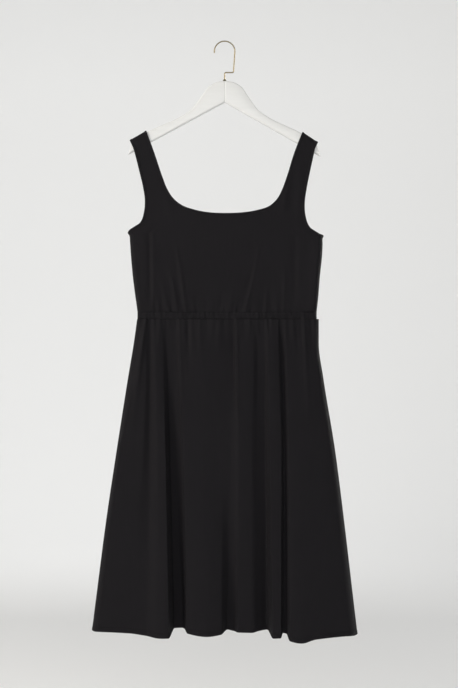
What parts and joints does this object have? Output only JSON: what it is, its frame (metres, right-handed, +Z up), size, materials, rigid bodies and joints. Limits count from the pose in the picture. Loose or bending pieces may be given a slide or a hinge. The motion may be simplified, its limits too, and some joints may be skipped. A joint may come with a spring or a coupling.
{
  "type": "skater dress on a hanger",
  "caption": "Sleeveless midi dress with a fitted bodice, wide straps, a gathered waist casing and a flared skirt in deep folds, hanging on a two-piece wooden hanger with a wire hook.",
  "frame": {"origin": "the inside top of the hook, where it rests on a peg or rail", "axes": "+Z up, +Y from the dress's front to its back, +X to the right as seen from the front"},
  "size_m": [0.6051, 0.093, 1.36],
  "materials": {
    "jersey": "soft matt black viscose jersey with a faint sheen",
    "lacquered_wood": "white satin lacquer",
    "brass_wire": "polished brass plate"
  },
  "bodies": {
    "root": {"bodice_front": "jersey", "bodice_back": "jersey", "neck_band": "jersey", "armhole_band_left": "jersey", "armhole_band_right": "jersey", "waist_casing": "jersey", "skirt_front": "jersey", "skirt_back": "jersey", "hanger_arm_left": "lacquered_wood", "hanger_arm_right": "lacquered_wood", "hook": "brass_wire", "hook_ferrule": "brass_wire"}
  },
  "joints": []
}
